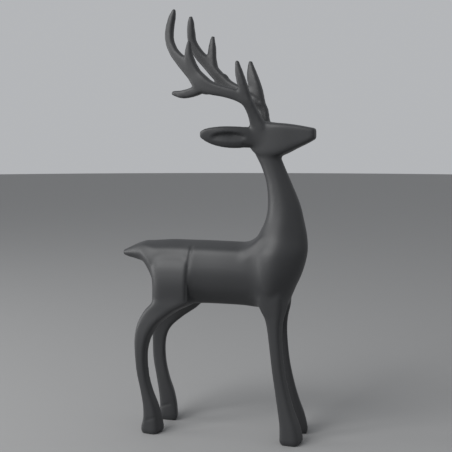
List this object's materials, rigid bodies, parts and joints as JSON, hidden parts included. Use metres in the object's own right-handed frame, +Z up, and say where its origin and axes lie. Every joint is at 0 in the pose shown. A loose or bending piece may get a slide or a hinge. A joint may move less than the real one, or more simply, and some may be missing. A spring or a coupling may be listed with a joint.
{
  "type": "reindeer figurine",
  "caption": "Standing stylised reindeer cast in one piece, with branched antlers, level leaf-shaped ears, a short pointed tail and flared hooves.",
  "frame": {"origin": "on the floor, under the middle of the figure's box", "axes": "+Z up, +X the way the body faces, +Y its left side"},
  "size_m": [0.1792, 0.065, 0.38],
  "materials": {
    "grey_finish": "satin dark grey, fine cast grain"
  },
  "bodies": {
    "root": {"reindeer": "grey_finish"}
  },
  "joints": []
}
